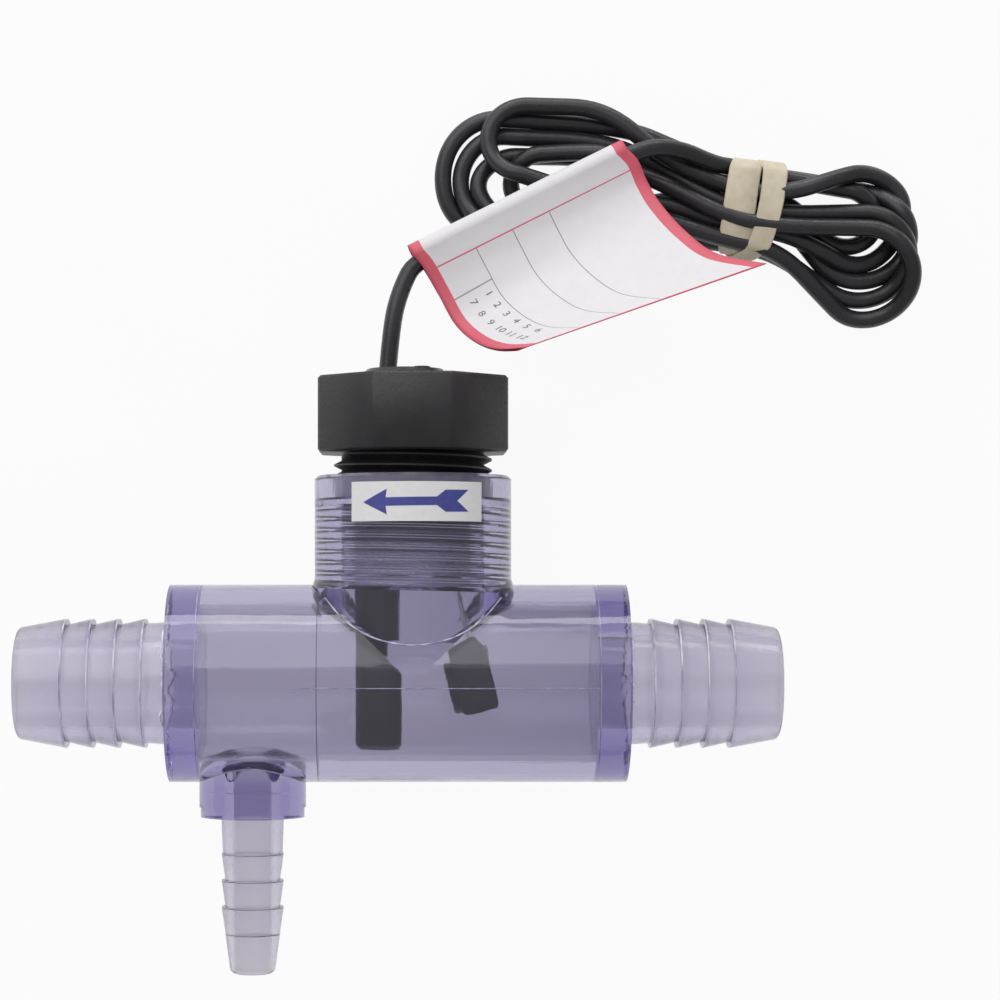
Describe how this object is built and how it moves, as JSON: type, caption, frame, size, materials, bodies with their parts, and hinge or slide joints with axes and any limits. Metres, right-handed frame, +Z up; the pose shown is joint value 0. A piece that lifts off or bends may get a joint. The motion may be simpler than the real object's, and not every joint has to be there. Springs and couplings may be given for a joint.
{
  "type": "paddle flow switch",
  "caption": "Clear tee with hose barbs, a drain barb and a threaded black plug; water swings a hinged magnetic paddle towards a reed switch sealed in the plug's stem.",
  "frame": {"origin": "bottom centre of the switch without its free cable, on the surface it lies on", "axes": "+X along the water path towards the inlet barb, +Y along the branch towards the plug, +Z straight up"},
  "size_m": [0.1551, 0.1512, 0.0375],
  "materials": {
    "clear_pvc": "clear, faint violet tint, moulded",
    "black_plastic": "moulded, satin",
    "potting": "cast epoxy, semi gloss",
    "reed_glass": "clear green glass",
    "nickel_iron": "drawn wire",
    "solder": "tinned",
    "conductor_white": "extruded insulation",
    "magnet_plating": "nickel plated",
    "stainless": "rolled strip and wire",
    "arrow_film": "white film, blue arrow",
    "cable_jacket": "soft extruded jacket",
    "band_rubber": "natural rubber",
    "label_film": "white film, red ruling"
  },
  "bodies": {
    "switch_body": {"tee_body": "clear_pvc", "outlet_coupling": "clear_pvc", "inlet_barb": "clear_pvc", "outlet_barb": "clear_pvc", "drain_barb": "clear_pvc", "switch_plug": "black_plastic", "potting_compound": "potting", "reed_glass": "reed_glass", "reed_lead_upper": "nickel_iron", "reed_lead_lower": "nickel_iron", "solder_joint_a": "solder", "solder_joint_b": "solder", "conductor_a": "conductor_white", "conductor_b": "conductor_white", "bias_magnet": "magnet_plating", "hinge_pin": "stainless", "flow_arrow_label": "arrow_film", "cable_lead": "cable_jacket", "cable_hank": "cable_jacket", "rubber_band": "band_rubber", "rating_label": "label_film", "lead_ends": "cable_jacket"},
    "paddle": {"paddle_arm": "stainless", "paddle_vane": "black_plastic", "paddle_magnet": "magnet_plating", "magnet_cap": "black_plastic", "arm_rivet": "stainless"}
  },
  "joints": [
    {"name": "paddle_swing", "type": "hinge", "parent": "switch_body", "child": "paddle", "pos_m": [0.00872, 0.01529, 0.01665], "axis": [0, 0, -1], "range_deg": [0, 21], "stiffness_Nm_per_rad": 0.002, "springref_deg": -5.73}
  ]
}
